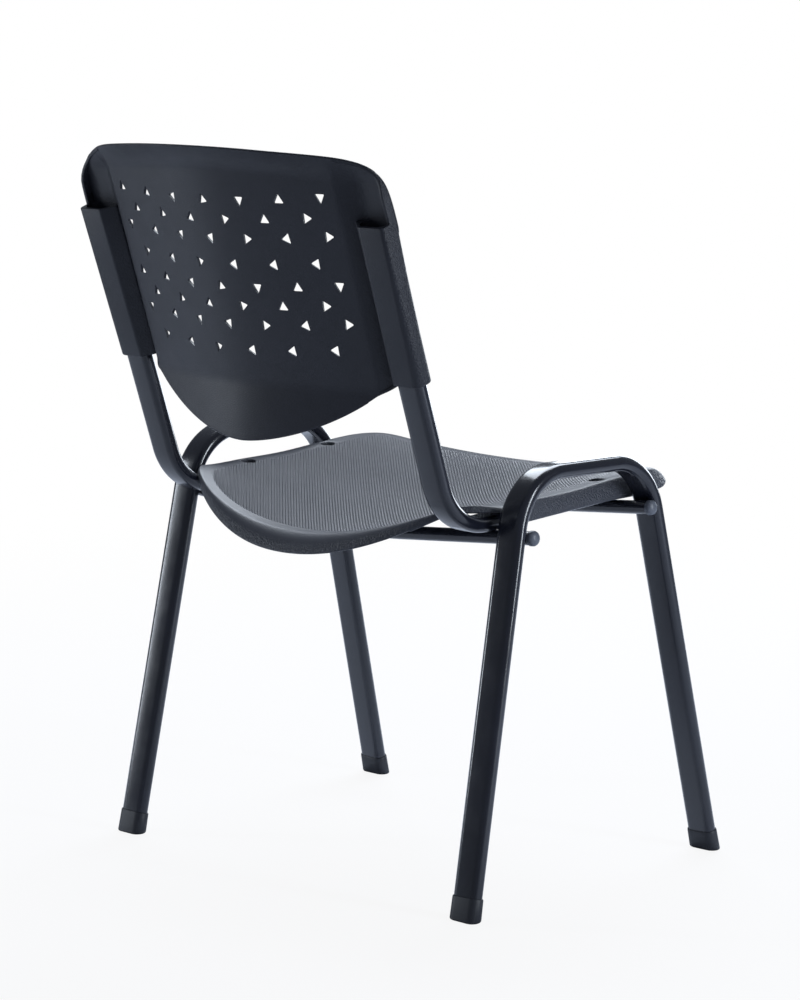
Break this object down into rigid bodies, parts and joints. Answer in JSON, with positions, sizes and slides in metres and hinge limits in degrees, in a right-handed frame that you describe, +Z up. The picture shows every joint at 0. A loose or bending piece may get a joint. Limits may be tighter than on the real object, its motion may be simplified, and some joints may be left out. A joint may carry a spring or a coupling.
{
  "type": "stacking chair",
  "caption": "Armless stacking chair: two bent flat-oval leg frames on bowed crossbars, a dished moulded seat and a curved vented back shell pushed over two posts.",
  "frame": {"origin": "floor level, middle of the whole chair seen from above", "axes": "+Z up, -Y the way the sitter faces, +X the sitter's left"},
  "size_m": [0.5528, 0.6036, 0.803],
  "materials": {
    "frame_paint": "semi-gloss black-grey powder coat",
    "seat_plastic": "fine ribbed, satin, anthracite polypropylene",
    "back_plastic": "fine grained, satin, anthracite polypropylene",
    "foot_plastic": "smooth, matte, dark grey polyethylene",
    "plug_plastic": "smooth, satin, grey polyethylene",
    "screw_steel": "black-coated steel"
  },
  "bodies": {
    "root": {"leg_frame_left": "frame_paint", "leg_frame_right": "frame_paint", "crossbar_front": "frame_paint", "crossbar_rear": "frame_paint", "back_post_left": "frame_paint", "back_post_right": "frame_paint", "seat_shell": "seat_plastic", "back_shell": "back_plastic", "foot_cap_front_left": "foot_plastic", "foot_cap_front_right": "foot_plastic", "foot_cap_rear_left": "foot_plastic", "foot_cap_rear_right": "foot_plastic", "crossbar_plug_front_left": "plug_plastic", "crossbar_plug_front_right": "plug_plastic", "crossbar_plug_rear_left": "plug_plastic", "crossbar_plug_rear_right": "plug_plastic", "arm_plug_left": "plug_plastic", "arm_plug_right": "plug_plastic", "seat_screw_front_left": "screw_steel", "seat_screw_front_right": "screw_steel", "seat_screw_rear_left": "screw_steel", "seat_screw_rear_right": "screw_steel"}
  },
  "joints": []
}
